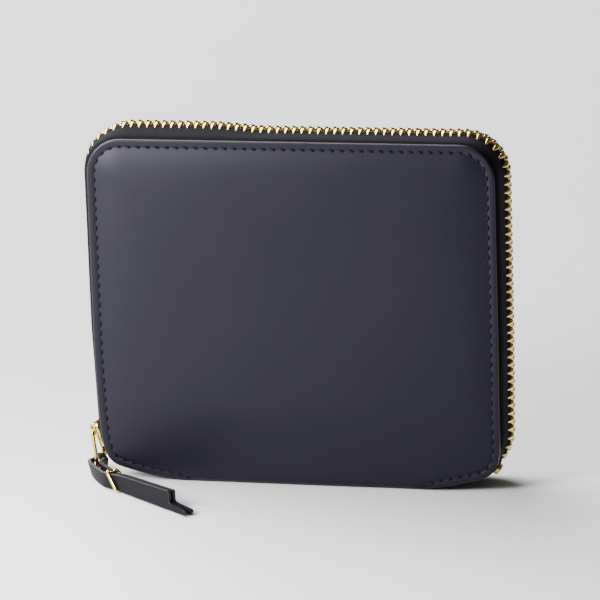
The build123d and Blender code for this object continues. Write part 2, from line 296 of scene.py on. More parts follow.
# Smooth dyed calf with a satin finish: it takes a broad soft sheen. Its pores are about
# 0.25 mm apart, with a faint cloud in the dye.
calf, tree, shader = new_material("satin_calf_leather_navy", Roughness=0.46, IOR=1.4,
                                  Specular_IOR_Level=0.3)
place = add(tree, "ShaderNodeTexCoord", {}).outputs["Object"]
cloud = add(tree, "ShaderNodeTexNoise", {"Vector": place, "Scale": 45.0, "Detail": 3.0})
dye = add(tree, "ShaderNodeMix", {"Factor": cloud.outputs["Fac"], "A": linear("#0b0915"),
                                  "B": linear("#110e1e")}, data_type="RGBA")
pores = add(tree, "ShaderNodeTexNoise", {"Vector": place, "Scale": 3600.0, "Detail": 2.0})
creases = add(tree, "ShaderNodeTexVoronoi", {"Vector": place, "Scale": 1500.0})
grain = add(tree, "ShaderNodeMath", {0: pores.outputs["Fac"], 1: creases.outputs["Distance"]},
            operation="ADD")
bump = add(tree, "ShaderNodeBump", {"Height": grain.outputs["Value"], "Strength": 0.12,
                                    "Distance": 0.00004})
gloss = add(tree, "ShaderNodeMapRange", {"Value": cloud.outputs["Fac"], "To Min": 0.42,
                                         "To Max": 0.50})
tree.links.new(dye.outputs["Result"], shader.inputs["Base Color"])
tree.links.new(gloss.outputs["Result"], shader.inputs["Roughness"])
tree.links.new(bump.outputs["Normal"], shader.inputs["Normal"])

# Edge paint, brushed on in two coats and burnished: a little glossier than the leather.
paint, tree, shader = new_material("burnished_edge_paint", Roughness=0.5, IOR=1.45)
place = add(tree, "ShaderNodeTexCoord", {}).outputs["Object"]
strokes = add(tree, "ShaderNodeTexNoise", {"Vector": place, "Scale": 700.0, "Detail": 3.0})
coat = add(tree, "ShaderNodeMix", {"Factor": strokes.outputs["Fac"], "A": linear("#08080c"),
                                   "B": linear("#0e0e14")}, data_type="RGBA")
bump = add(tree, "ShaderNodeBump", {"Height": strokes.outputs["Fac"], "Strength": 0.2,
                                    "Distance": 0.00008})
tree.links.new(coat.outputs["Result"], shader.inputs["Base Color"])
tree.links.new(bump.outputs["Normal"], shader.inputs["Normal"])

near_edge = np.array([0, 0.1, 0.22, 0.36, 0.55, 0.8, 1.1, 1.4, 1.65, 1.85, 2.0, 2.2, 2.4, 2.55,
                      2.75, 3.1, 3.6, 4.3, 5.2, 6.5, 8, 10, 13])
row_s = np.concatenate([[0, 2, 4, 5.5], np.arange(6.3, 14, 0.22), np.arange(14, 20, 0.5),
                        np.arange(20, leather_length - 14, 2.0),
                        leather_length - near_edge[::-1]])
left_reach, right_reach = leather_half_widths(row_s)
span = np.linspace(0, 1, 40)[1:-1]
grid_x = []
for half_left, half_right in zip(left_reach, right_reach):
    inset = near_edge * min(1, half_left / 30)
    middle = (-half_left + inset[-1]) * (1 - span) + (half_right - inset[-1]) * span
    grid_x.append(np.concatenate([-half_left + inset, middle, half_right - inset[::-1]]))
grid_x = np.array(grid_x)
grid_s = np.repeat(row_s[:, None], grid_x.shape[1], axis=1)
rise, from_edge = leather_rise(grid_x, grid_s)
paint_width = 0.3
paint_band = from_edge[:-1, :-1] < paint_width
paint_band[row_s[:-1] < 1] = False

# Under the spine the leather is pressed flat by the floor, and so are the stitches later.
pressed_leather = 0.03
pressed_thread = 0.02
for half, side, joint_side in (("front", -1, "front_half"), ("back", 1, "back_half")):
    outer = wrap(grid_x, grid_s, rise, side)
    outer[..., 2] = np.maximum(outer[..., 2], pressed_leather)
    inner = wrap(grid_x, grid_s, np.full_like(rise, -calf_thickness), side)
    cover = shell(half + "_cover_wrap", outer, inner, calf, paint, paint_band)
    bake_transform(cover)
    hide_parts(half + "_cover_leather", "fold_" + half + "_leather", "spine_leather")

# ---- Boards and stiffener ----
# Thin grey-brown fibreboard, die-cut and glued between leather and lining. Only a cut edge
# could ever show.
board, tree, shader = new_material("fibreboard", Roughness=0.85)
place = add(tree, "ShaderNodeTexCoord", {}).outputs["Object"]
fibres = add(tree, "ShaderNodeTexNoise", {"Vector": place, "Scale": 1800.0, "Detail": 4.0})
pulp = add(tree, "ShaderNodeMix", {"Factor": fibres.outputs["Fac"], "A": linear("#4d463f"),
                                   "B": linear("#6a6157")}, data_type="RGBA")
tree.links.new(pulp.outputs["Result"], shader.inputs["Base Color"])
for name in ("front_board", "back_board", "spine_stiffener"):
    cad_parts[name].data.materials.clear()
    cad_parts[name].data.materials.append(board)


# ---- Linings ----
# Thin navy nappa glued over the boards' inner faces, its edges cut clean and inked. A strip of
# it runs over the spine and up each fold.
def soft_nappa(name, roughness, dyes, cloud_scale, pebble_scale, strength, depth):
    """Fine soft leather: a faint cloud in its dye, and flat pebbles well under a millimetre."""
    made, tree, shader = new_material(name, Roughness=roughness, IOR=1.4, Specular_IOR_Level=0.25)
    place = add(tree, "ShaderNodeTexCoord", {}).outputs["Object"]
    cloud = add(tree, "ShaderNodeTexNoise", {"Vector": place, "Scale": cloud_scale, "Detail": 3.0})
    dye = add(tree, "ShaderNodeMix", {"Factor": cloud.outputs["Fac"], "A": linear(dyes[0]),
                                      "B": linear(dyes[1])}, data_type="RGBA")
    pebbles = add(tree, "ShaderNodeTexVoronoi", {"Vector": place, "Scale": pebble_scale})
    bump = add(tree, "ShaderNodeBump", {"Height": pebbles.outputs["Distance"],
                                        "Strength": strength, "Distance": depth})
    tree.links.new(dye.outputs["Result"], shader.inputs["Base Color"])
    tree.links.new(bump.outputs["Normal"], shader.inputs["Normal"])
    return made


nappa = soft_nappa("nappa_lining_navy", 0.55, ("#0a0912", "#0f0e19"), 60.0, 1300.0, 0.25, 0.00008)


def panel_grid(half_width, low, high, radius):
    """Rows of points over a rounded panel, closer together near its edges."""
    near = np.array([0, 0.05, 0.12, 0.22, 0.36, 0.55, 0.8, 1.05, 1.3, 1.5, 1.7, 1.95, 2.3, 3, 4.2])
    inset = min(5.5, 0.46 * (high - low))
    z = np.concatenate([low + near, np.linspace(low + inset, high - inset, 12),
                        high - near[::-1]])
    into = np.maximum(radius - np.minimum(z - low, high - z), 0)
    half = half_width - radius + np.sqrt(np.maximum(radius ** 2 - into ** 2, 0))
    middle = np.linspace(-1, 1, 24)[1:-1]
    rows = [np.concatenate([-h + near, (h - near[-1]) * middle, h - near[::-1]]) for h in half]
    x = np.array(rows)
    z = np.repeat(z[:, None], x.shape[1], axis=1)
    corner = np.maximum(np.abs(x) - half_width + radius, 0)
    end = np.maximum(np.maximum(low + radius - z, z - high + radius), 0)
    in_corner = (corner > 0) & (end > 0)
    straight = np.minimum(half_width - np.abs(x), np.minimum(z - low, high - z))
    return x, z, np.where(in_corner, radius - np.hypot(corner, end), straight)


panel_edge = 0.25
panel_edge_drop = 0.24
crease_depth = 0.05
crease_inset = 1.5
crease_half_width = 0.22
inked_width = 0.12


def leather_panel(name, side, size, face, thickness, material, turned=0.0):
    """A flat sheet in one half: its face looks to the middle, its edges are rounded and inked."""
    x, z, d = panel_grid(*size)
    edge = 1 - np.sqrt(1 - (1 - np.clip(d, 0, panel_edge) / panel_edge) ** 2)
    ripple = 0.05 * np.sin(x / 9.0 + face) * np.sin(z / 11.0) * step(2, 8, d)
    crease = crease_depth * np.exp(-((d - crease_inset) / crease_half_width) ** 2)
    lift = ripple - panel_edge_drop * edge - crease
    under = thickness - panel_edge_drop * edge + turned * (1 - step(1.4, 2.0, d))
    outer = np.stack([x, side * (face - lift), z], axis=-1)
    inner = np.stack([x, side * (face + under), z], axis=-1)
    made = shell(name, outer, inner, material, paint, d[:-1, :-1] < inked_width)
    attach(made, "front_half" if side < 0 else "back_half")
    return made


lining_size = (48.5, 5.0, 84.5, 6.0)
lining_face = 5.72
for half, side in (("front", -1), ("back", 1)):
    lining = leather_panel(half + "_inner_lining", side, lining_size, lining_face, 0.58, nappa)
    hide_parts(half + "_lining")


def tube(rings, closed=False):
    """Points and faces of a solid through rings of points, its ends joined or capped."""
    rings = np.asarray(rings)
    count, around = rings.shape[:2]
    faces = []
    for r in range(count if closed else count - 1):
        a, b = r * around, (r + 1) % count * around
        for i in range(around):
            j = (i + 1) % around
            faces.append((a + i, a + j, b + j, b + i))
    if not closed:
        faces.append(tuple(range(around))[::-1])
        faces.append(tuple((count - 1) * around + i for i in range(around)))
    return rings.reshape(-1, 3), faces


def thick_line(line, half_widths):
    """A closed outline round a flat line, half_widths to each side of it."""
    line = np.array(line, float)
    along = np.gradient(line, axis=0)
    along /= np.linalg.norm(along, axis=1)[:, None]
    beside = np.stack([-along[:, 1], along[:, 0]], 1) * np.reshape(half_widths, (-1, 1))
    return np.vstack([line + beside, (line - beside)[::-1]])


strip_z = 2.15
spine_line = [(y, strip_z) for y in (-4.9, -4.6, 0, 4.6, 4.9)]
outline_yz = thick_line(spine_line, [0.08, 0.24, 0.24, 0.24, 0.08])
rings = [[(x, y * k, strip_z + (z - strip_z) * k) for y, z in outline_yz]
         for x, k in ((-44, 0.92), (-43.8, 1), (-20, 1), (20, 1), (43.8, 1), (44, 0.92))]
spine_strip = new_mesh("spine_strip", *tube(rings), nappa)
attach(spine_strip, "spine")
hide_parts("spine_lining")

fold_line = curve_through([(4.5, 2.55), (5.2, 2.65), (5.75, 3.2), (5.95, 4.2), (5.9, 5.4),
                           (5.55, 6.4)], 14)
outline_yz = thick_line(fold_line, [0.05] + [0.18] * 12 + [0.05])
for half, side in (("front", -1), ("back", 1)):
    rings = [[(x, side * y, z) for y, z in outline_yz] for x in np.linspace(-43, 43, 12)]
    fold_strip = new_mesh(half + "_fold_lining", *tube(rings), nappa)
    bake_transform(fold_strip)

# ---- Card slots ----
# Four pockets of the same nappa on the front half, each shorter than the one behind it, with
# a creased line under the top edge. One seam down each side holds them all.
pocket = soft_nappa("nappa_pocket_navy", 0.5, ("#0c0b15", "#12111d"), 50.0, 1500.0, 0.22, 0.00007)
slot_tops = (78.0, 67.5, 57.0, 46.5)
slot_faces = [5.0 - 0.9 * i for i in range(4)]
pocket_thickness = 0.6
for i, top in enumerate(slot_tops):
    slot = leather_panel(f"card_pocket_{i + 1}", -1, (46.0, 6.0, top, 1.5), slot_faces[i],
                         pocket_thickness, pocket)
    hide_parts(f"card_slot_{i + 1}")

# ---- Note pocket and coin pocket ----
# Nappa panels on the back half. The coin pocket stands a millimetre proud on its turned edges,
# in two parts above and below its zip.
coin_face = 3.4
coin_low_span = (6.0, 59.6)
coin_high_span = (68.4, 78.0)
notes = leather_panel("note_pocket", 1, (47.5, 6.0, 74.0, 2.0), 5.0, pocket_thickness, pocket)
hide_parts("note_pocket_panel")
coins_low = leather_panel("coin_pocket_lower", 1, (47.0, *coin_low_span, 2.0), coin_face,
                          pocket_thickness, pocket, turned=0.95)
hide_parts("coin_pocket_panel")
coins_high = leather_panel("coin_pocket_upper", 1, (47.0, *coin_high_span, 2.0), coin_face,
                           pocket_thickness, pocket, turned=0.95)
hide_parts("coin_pocket_top")

# ---- Main zip tape ----
# Navy polyester tape woven in a fine herringbone, sewn in between cover and lining. It turns
# round the cover's edge and ends in a corded bead that the teeth are clamped to.
tape_weave, tree, shader = new_material("woven_tape_navy_painted_rib_shade", Roughness=0.85,
                                        Specular_IOR_Level=0.15)
woven = add(tree, "ShaderNodeAttribute", {}, attribute_name="weave").outputs["Vector"]
split = add(tree, "ShaderNodeSeparateXYZ", {"Vector": woven})
turn_back = add(tree, "ShaderNodeMath", {0: split.outputs["Y"], 1: 0.9}, operation="PINGPONG")
slanted = add(tree, "ShaderNodeMath", {0: split.outputs["X"], 1: turn_back.outputs["Value"]},
              operation="ADD")
phase = add(tree, "ShaderNodeMath", {0: slanted.outputs["Value"], 1: 12.0}, operation="MULTIPLY")
ribs = add(tree, "ShaderNodeMath", {0: phase.outputs["Value"]}, operation="SINE")
lift = add(tree, "ShaderNodeMapRange", {"Value": ribs.outputs["Value"], "From Min": -1.0})
# The colour follows the ribs' height: painted shade in the furrows of the weave and painted
# highlight on the crests of its ribs.
rib_shade_and_light = add(tree, "ShaderNodeMix", {"Factor": lift.outputs["Result"], "A": linear("#030307"),
                                   "B": linear("#0d0c16")}, data_type="RGBA")
bump = add(tree, "ShaderNodeBump", {"Height": lift.outputs["Result"], "Strength": 0.6,
                                    "Distance": 0.00008})
tree.links.new(rib_shade_and_light.outputs["Result"], shader.inputs["Base Color"])
tree.links.new(bump.outputs["Normal"], shader.inputs["Normal"])


def rounded_line(corners):
    """A dense line through (x, z, radius) corners, each turned on an arc."""
    line = [np.array(corners[0][:2], float)]
    for before, corner, after in zip(corners, corners[1:], corners[2:]):
        p = np.array(corner[:2], float)
        a = np.array(before[:2]) - p
        b = np.array(after[:2]) - p
        a /= np.linalg.norm(a)
        b /= np.linalg.norm(b)
        half = math.acos(max(-1, min(1, a @ b))) / 2
        middle = (a + b) / np.linalg.norm(a + b)
        centre = p + middle * corner[2] / math.sin(half)
        first = p + a * corner[2] / math.tan(half) - centre
        last = p + b * corner[2] / math.tan(half) - centre
        start = math.atan2(first[1], first[0])
        turn = (math.atan2(last[1], last[0]) - start + math.pi) % (2 * math.pi) - math.pi
        for t in np.linspace(start, start + turn, 40):
            line.append(centre + corner[2] * np.array([math.cos(t), math.sin(t)]))
    line.append(np.array(corners[-1][:2], float))
    return np.array(line)


def line_length(line):
    """The length of a line of points."""
    return np.linalg.norm(np.diff(line, axis=0), axis=1).sum()


def walk(line, distances):
    """Points at distances along a line, with the direction there and the left-hand normal."""
    gone = np.concatenate([[0], np.cumsum(np.linalg.norm(np.diff(line, axis=0), axis=1))])
    at = [np.stack([np.interp(distances + shift, gone, line[:, k]) for k in (0, 1)], 1)
          for shift in (0, -0.15, 0.15)]
    along = at[2] - at[1]
    along /= np.linalg.norm(along, axis=1)[:, None]
    return at[0], along, np.stack([-along[:, 1], along[:, 0]], 1)


zip_line = rounded_line([(-39, 4.6), (-51.8, 3, 10), (-53, 40, 100), (-53, 89.8, 9),
                         (53, 89.8, 9), (53, 40, 100), (52.6, 3, 10), (40, 4.8)])
zip_length = line_length(zip_line)
tape_line = curve_through([(-3.4, 7.0), (-0.7, 6.98), (0.15, 6.8), (0.5, 6.2), (0.7, 5.3),
                           (0.85, 4.2), (1.0, 3.3), (1.15, 2.7), (1.3, 2.2), (1.35, 1.8)], 26)
tape_section = thick_line(tape_line, [0.1] + [0.2] * 19 + [0.24, 0.32, 0.4, 0.45, 0.42, 0.2])
tape_width = 8.2
tape_across = np.concatenate([np.linspace(0, tape_width, 26), np.linspace(tape_width, 0, 26)])


def zip_swell(spots):
    """The zip stands a millimetre proud along the left of the top, where it was eased in."""
    x, z = spots[:, 0], spots[:, 1]
    return 0.95 * step(-49, -42, x) * (1 - step(-22, -6, x)) * step(85, 89, z)


def lay_weave(piece, spots):
    """Gives each point its place in the weave, in millimetres: along the tape, then across."""
    weave = piece.data.attributes.new("weave", "FLOAT_VECTOR", "POINT")
    weave.data.foreach_set("vector", spots.reshape(-1))


steps = np.linspace(0, zip_length, 300)
spots, _, outward = walk(zip_line, steps)
swell = zip_swell(spots)
for half, side in (("front", -1), ("back", 1)):
    rings = []
    for spot, out, more in zip(spots, outward, swell):
        lifted = tape_section[:, 0] + more * np.clip((7 - tape_section[:, 1]) / 4, 0, 1)
        x, z = spot[:, None] + out[:, None] * lifted
        rings.append(np.stack([x, side * tape_section[:, 1], z], 1))
    tape = new_mesh(half + "_zip_tape", *tube(rings), tape_weave)
    grid = np.zeros((len(steps), len(tape_across), 3))
    grid[..., 0] = steps[:, None]
    grid[..., 1] = tape_across
    lay_weave(tape, grid)
    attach(tape, half + "_half")
    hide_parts("zip_tape_" + half)

# ---- Main zip teeth ----
# Pressed brass, plated light gold and polished. Each tooth is clamped over the tape's bead with
# two tapering legs, and its rounded head locks between two heads of the other row.
gold, tree, shader = new_material("polished_light_gold", Metallic=1.0, Roughness=0.2)
place = add(tree, "ShaderNodeTexCoord", {}).outputs["Object"]
wear = add(tree, "ShaderNodeTexNoise", {"Vector": place, "Scale": 900.0, "Detail": 3.0})
plating = add(tree, "ShaderNodeMix", {"Factor": wear.outputs["Fac"], "A": linear("#cdb058"),
                                      "B": linear("#dcc873")}, data_type="RGBA")
polish = add(tree, "ShaderNodeMapRange", {"Value": wear.outputs["Fac"], "To Min": 0.14,
                                          "To Max": 0.28})
tree.links.new(plating.outputs["Result"], shader.inputs["Base Color"])
tree.links.new(polish.outputs["Result"], shader.inputs["Roughness"])


def join(solids):
    """Several solids' points and faces as one."""
    points = []
    faces = []
    base = 0
    for part_points, part_faces in solids:
        points.append(part_points)
        faces += [tuple(i + base for i in face) for face in part_faces]
        base += len(part_points)
    return np.concatenate(points), faces


def rounded_box(width, height, radius, count=3):
    """The outline of a rectangle with rounded corners, about the origin."""
    outline = []
    for sx, sy, start in ((1, 1, 0), (-1, 1, 90), (-1, -1, 180), (1, -1, 270)):
        for t in np.radians(np.linspace(start, start + 90, count)):
            outline.append((sx * (width / 2 - radius) + radius * math.cos(t),
                            sy * (height / 2 - radius) + radius * math.sin(t)))
    return np.array(outline)


# A tooth at depths from the middle of the zip: width, height and how far out it is centred.
tooth_shape = [(-0.62, 0.42, 0.8, 1.36), (-0.5, 0.72, 1.3, 1.36), (-0.15, 0.94, 1.8, 1.36),
               (0.4, 0.9, 1.9, 1.36), (0.9, 1.25, 1.95, 1.34), (1.4, 1.4, 1.9, 1.3),
               (2.0, 1.2, 1.6, 1.2), (2.6, 0.82, 1.2, 1.06), (3.1, 0.45, 0.8, 0.95),
               (3.3, 0.2, 0.5, 0.9)]


def tooth_at(base, along, out, deep, size=1.0):
    """One tooth on a base line: along the tape, out from the wallet, deep into its own half."""
    rings = []
    for depth, width, height, centre in tooth_shape:
        flat = rounded_box(width, height, 0.3 * width) * size
        flat[:, 1] += centre * size
        rings.append(base + deep * depth * size + flat[:, :1] * along + flat[:, 1:] * out)
    return tube(rings)


tooth_pitch = 2.12
slider_nose_z = 12.6
far_stop_z = 8
for half, side, first in (("front", -1, 0.0), ("back", 1, tooth_pitch / 2)):
    places = np.arange(first, zip_length, tooth_pitch)
    spots, along, outward = walk(zip_line, places)
    row = []
    for spot, a, n, more in zip(spots, along, outward, zip_swell(spots)):
        under_slider = spot[0] < 0 and spot[1] < slider_nose_z
        past_stop = spot[0] > 0 and spot[1] < far_stop_z
        if under_slider or past_stop:
            continue
        base = np.array([spot[0] + more * n[0], 0, spot[1] + more * n[1]])
        row.append(tooth_at(base, np.array([a[0], 0, a[1]]), np.array([n[0], 0, n[1]]),
                            np.array([0, side, 0])))
    teeth = new_mesh(half + "_zip_row", *join(row), gold)
    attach(teeth, half + "_half")
    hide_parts("zip_teeth_" + half)


# ---- Zip stops ----
# Small plated brass clips, squeezed over the tape's ends: one each side below the slider, and
# one across both sides at the far end. The tape's ends are tucked in under the spine's lining.
def plate(outline, low, high, edge):
    """A solid from a flat outline, its upper and lower edges rounded."""
    outline = np.array(outline, float)
    along = np.roll(outline, -1, axis=0) - np.roll(outline, 1, axis=0)
    along /= np.linalg.norm(along, axis=1)[:, None]
    inward = np.stack([-along[:, 1], along[:, 0]], 1)
    rings = []
    turns = np.radians((0, 30, 60, 90))
    levels = [(low + edge * (1 - math.sin(t)), edge * (1 - math.cos(t))) for t in turns[::-1]]
    levels += [(high - edge * (1 - math.sin(t)), edge * (1 - math.cos(t))) for t in turns]
    for level, inset in levels:
        flat = outline + inward * inset
        rings.append(np.column_stack([flat, np.full(len(flat), level)]))
    return tube(rings)


def placed(solid, origin, x_axis, y_axis, z_axis):
    """A solid moved from its own frame into the wallet's."""
    points, faces = solid
    axes = np.array([x_axis, y_axis, z_axis], float)
    return points @ axes + np.array(origin), faces


for end, tab_line in (("left", [(-41, 2.5), (-44, 2.6), (-46.6, 3.1), (-48.3, 4.4), (-49, 5.4)]),
                      ("right", [(41, 2.5), (45, 2.6), (48.2, 3.1), (50.2, 4.5), (51, 5.6)])):
    tab_line = curve_through(tab_line, 20)
    section = thick_line(tab_line, [0.08] + [0.2] * 18 + [0.08])
    rings = [[(x, y, z) for x, z in section] for y in np.linspace(-3.0, 3.0, 14)]
    tab = new_mesh(f"zip_tape_end_{end}", *tube(rings), tape_weave)
    lay_weave(tab, np.array([v.co for v in tab.data.vertices]) / MM)
    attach(tab, "spine")
turn = math.radians(54)
turn_radius = 11.2
out = np.array([-math.cos(turn), 0, -math.sin(turn)])
down = np.array([math.sin(turn), 0, -math.cos(turn)])
for half, side in (("front", -1), ("back", 1)):
    spot = (-41.9 - turn_radius * math.cos(turn), side * 1.1, 13 - turn_radius * math.sin(turn))
    clip = plate(rounded_box(2.3, 1.8, 0.5), -0.95, 0.95, 0.3)
    stop = new_mesh(half + "_top_clip", *placed(clip, spot, down, (0, 1, 0), out), gold)
    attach(stop, "spine")
    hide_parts("zip_top_stop_" + half)
clip = plate(rounded_box(2.2, 4.4, 0.6), -1.1, 1.1, 0.35)
stop = new_mesh("far_end_clip", *placed(clip, (50.3, 0, 4.5), (0.7, 0, 0.7), (0, 1, 0),
                                        (0.7, 0, -0.7)), gold)
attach(stop, "spine")
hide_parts("zip_bottom_stop")

# ---- Cover stitching ----
# Bonded navy thread, about ten stitches to the inch, run all round each half 2 mm inside the
# edge. Every stitch slants a little, as a diamond-pointed needle leaves it.
thread, tree, shader = new_material("bonded_thread_navy_painted_shade", Roughness=0.7,
                                    Specular_IOR_Level=0.2)
place = add(tree, "ShaderNodeTexCoord", {}).outputs["Object"]
plies = add(tree, "ShaderNodeTexWave", {"Vector": place, "Scale": 900.0, "Distortion": 1.0},
            bands_direction="DIAGONAL")
# Near black: partly the thread's own dark navy, partly painted shade of the stitches sunk in their
# holes.
plies_navy_and_shade = add(tree, "ShaderNodeMix", {"Factor": plies.outputs["Fac"], "A": linear("#040409"),
                                    "B": linear("#0b0b14")}, data_type="RGBA")
tree.links.new(plies_navy_and_shade.outputs["Result"], shader.inputs["Base Color"])


stitch_spacing = 2.5
stitch_length = 1.75
thread_radius = 0.29


def thread_run(line, slant, rise_at, to_space):
    """Stitches along a flat line: short threads that rise in the middle and dive at the ends."""
    total = line_length(line)
    count = int(total / stitch_spacing)
    spots, along, left_hand = walk(line, (np.arange(count) + 0.5) * total / count)
    turned = along * math.cos(slant) + left_hand * math.sin(slant)
    beside = np.stack([-turned[:, 1], turned[:, 0]], 1)
    parts = np.linspace(-1, 1, 7)
    swell = thread_radius * np.array([0.35, 0.85, 1, 1, 1, 0.85, 0.35])
    arch = np.array([-0.22, -0.02, 0.1, 0.12, 0.1, -0.02, -0.22])
    angles = np.radians(np.arange(0, 360, 60))
    reach = parts * stitch_length / 2
    flat = spots[:, None, None] + turned[:, None, None] * reach[:, None, None]
    flat = flat + beside[:, None, None] * (swell[:, None] * np.cos(angles))[..., None]
    height = np.broadcast_to(arch[:, None] + swell[:, None] * np.sin(angles), flat.shape[:3])
    points = to_space(flat[..., 0], flat[..., 1], rise_at(flat[..., 0], flat[..., 1]) + height)
    return join([tube(rings) for rings in points])


seam = []
for a, b in zip(outline[:-1], outline[1:]):
    direction = (b - a) / max(np.linalg.norm(b - a), 1e-9)
    seam.append((a + b) / 2 + seam_inset * np.array([direction[1], -direction[0]]))
seam = np.array(seam)
seam = seam[distance_to(outline, seam[:, 0], seam[:, 1]) > seam_inset - 0.05]
for half, side in (("front", -1), ("back", 1)):
    points, faces = thread_run(seam, math.radians(-12) * -side,
                               lambda x, s: leather_rise(x, s)[0],
                               lambda x, s, rise: wrap(x, s, rise, side))
    points[:, 2] = np.maximum(points[:, 2], pressed_thread)
    stitches = new_mesh(half + "_seam", points, faces, thread)
    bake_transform(stitches)
    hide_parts(half + "_stitching")

# ---- Pocket seams ----
# The same thread down both sides of the card slots, and round the coin pocket. It lies on flat
# panels, so each stitch rises only by its own arch.
pocket_slant = 0.15
card_seam_x = 44.3
coin_seam_x = 45.5
coin_seam_inset = 1.5


def no_rise(x, z):
    """The rise of a flat panel."""
    return 0 * x


for sign, hand in ((-1, "left"), (1, "right")):
    for i, top in enumerate(slot_tops):
        low = slot_tops[i + 1] if i < 3 else 7.0
        line = np.array([(sign * card_seam_x, low + 0.6), (sign * card_seam_x, top - 0.8)])
        solid = thread_run(line, pocket_slant, no_rise,
                           lambda x, z, rise: np.stack([x, rise - slot_faces[i], z], -1))
        seam_part = new_mesh(f"card_seam_{hand}_{i + 1}", *solid, thread)
        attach(seam_part, "front_half")
for name, span in (("lower", coin_low_span), ("upper", coin_high_span)):
    low = span[0] + coin_seam_inset
    high = span[1] - coin_seam_inset
    line = rounded_line([(0, low), (-coin_seam_x, low, 1), (-coin_seam_x, high, 1),
                         (coin_seam_x, high, 1), (coin_seam_x, low, 1), (0.1, low)])
    solid = thread_run(line, pocket_slant, no_rise,
                       lambda x, z, rise: np.stack([x, coin_face - rise, z], -1))
    seam_part = new_mesh("coin_pocket_seam_" + name, *solid, thread)
    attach(seam_part, "back_half")

# ---- Coin zip ----
# A lighter zip in the window between the coin pocket's two parts: two woven strips with small
# plated teeth, its slider at the left end with a little flat tab.
coin_zip_z = 64
coin_section = thick_line([(59.3, 3.72), (61, 3.72), (63, 3.7), (63.9, 3.62)],
                          [0.12, 0.16, 0.2, 0.12])
for name, flip in (("lower", 1), ("upper", -1)):
    solid = tube([[(x, d, coin_zip_z + flip * (z - coin_zip_z)) for z, d in coin_section]
                  for x in np.linspace(-45, 45, 60)])
    strip = new_mesh("coin_tape_" + name, *solid, tape_weave)
    spots = np.array([v.co for v in strip.data.vertices]) / MM
    lay_weave(strip, np.column_stack([spots[:, 0], spots[:, 2], 0 * spots[:, 0]]))
    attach(strip, "back_half")
    if flip > 0:
        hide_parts("coin_zip_tape")
coin_pitch = 1.6
coin_tooth_scale = 0.62
row = []
for i in range(45):
    for sign in (1, -1):
        base = np.array([40 - i * coin_pitch + sign * coin_pitch / 4, 4.2, coin_zip_z])
        row.append(tooth_at(base, np.array([1, 0, 0]), np.array([0, -1, 0]),
                            np.array([0, 0, sign]), coin_tooth_scale))
coin_row = new_mesh("coin_zip_row", *join(row), gold)
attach(coin_row, "back_half")
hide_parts("coin_zip_teeth")

# ---- Sliders ----
# Die-cast, plated and polished. Two shields joined by a post at the nose, with turned-in
# flanges that leave a slot each side for the tape, and an arch that the pull hangs in.
plan_half_width = 3.6
plan_half_length = 4.6
half_plan = curve_through([(0, 4.6), (1.5, 4.5), (2.8, 3.95), (3.55, 2.7), (3.5, 1.0),
                           (3.05, -1.2), (2.85, -3.4), (2.3, -4.4), (1.1, -4.6), (0, -4.6)], 30)
slider_plan = np.vstack([half_plan[:-1], half_plan[::-1][:-1] * [-1, 1]])[::-1]


def arch_solid(line, width, thick):
    """A strap of metal bent along a line of (y, z) points."""
    line = np.array(line, float)
    along = np.gradient(line, axis=0)
    along /= np.linalg.norm(along, axis=1)[:, None]
    rings = []
    for (y, z), (ty, tz) in zip(line, along):
        flat = rounded_box(width, thick, 0.32 * thick)
        rings.append([(a, y - tz * b, z + ty * b) for a, b in flat])
    return tube(rings)


def slider_solids(half_length, half_width, half_height, shield):
    """Shields, flanges and post in the slider's own frame: X across, Y to the nose, Z out."""
    scale = np.array([half_width / plan_half_width, half_length / plan_half_length])
    plan = slider_plan * scale
    inside = half_height - shield
    solids = [plate(plan, inside, half_height, shield * 0.45),
              plate(plan, -half_height, -inside, shield * 0.45)]
    post = rounded_box(1.5, 2.2, 0.7) * scale[0] + [0, half_length * 0.72]
    solids.append(plate(post, -inside - 0.1, inside + 0.1, 0.05))
    side_line = np.array([p for p in half_plan if -4.3 < p[1] < 2.2]) * scale
    for sign in (-1, 1):
        for up in (-1, 1):
            rings = []
            for x, y in side_line:
                flat = rounded_box(shield, inside - 0.35, 0.15)
                rings.append([(sign * (x - shield * 0.55 + a), y, up * (inside / 2 + 0.2 + b))
                              for a, b in flat])
            solids.append(tube(rings))
    return solids


tilt = math.radians(20)
slider_place = ((-52.62, 0, 9.17), (0, 1, 0), (math.sin(tilt), 0, -math.cos(tilt)),
                (-math.cos(tilt), 0, -math.sin(tilt)))
coin_place = ((-38, 3.7, coin_zip_z), (0, 0, 1), (-1, 0, 0), (0, -1, 0))
main_slider = new_mesh("slider_shields", *placed(join(slider_solids(4.6, 3.55, 1.65, 0.5)),
                                                 *slider_place), gold)
main_arch = rounded_line([(-4.15, 1.5), (-4.15, 3.28, 0.9), (-1.05, 3.28, 0.9), (-1.05, 1.5)])
main_bridge = new_mesh("slider_arch", *placed(arch_solid(main_arch, 1.8, 0.62), *slider_place),
                       gold)
coin_slider = new_mesh("coin_slider_shields", *placed(join(slider_solids(3.0, 2.25, 1.15, 0.35)),
                                                      *coin_place), gold)
coin_arch = rounded_line([(-0.95, 1.0), (-0.95, 2.22, 0.6), (1.55, 2.22, 0.6), (1.55, 1.0)])
coin_bridge = new_mesh("coin_slider_arch", *placed(arch_solid(coin_arch, 1.2, 0.44), *coin_place),
                       gold)
for piece, body, node in ((main_slider, "slider", "zip_slider_body"),
                          (main_bridge, "slider", "zip_slider_bridge"),
                          (coin_slider, "coin_slider", "coin_slider_body"),
                          (coin_bridge, "coin_slider", "coin_slider_bridge")):
    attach(piece, body)
    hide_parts(node)


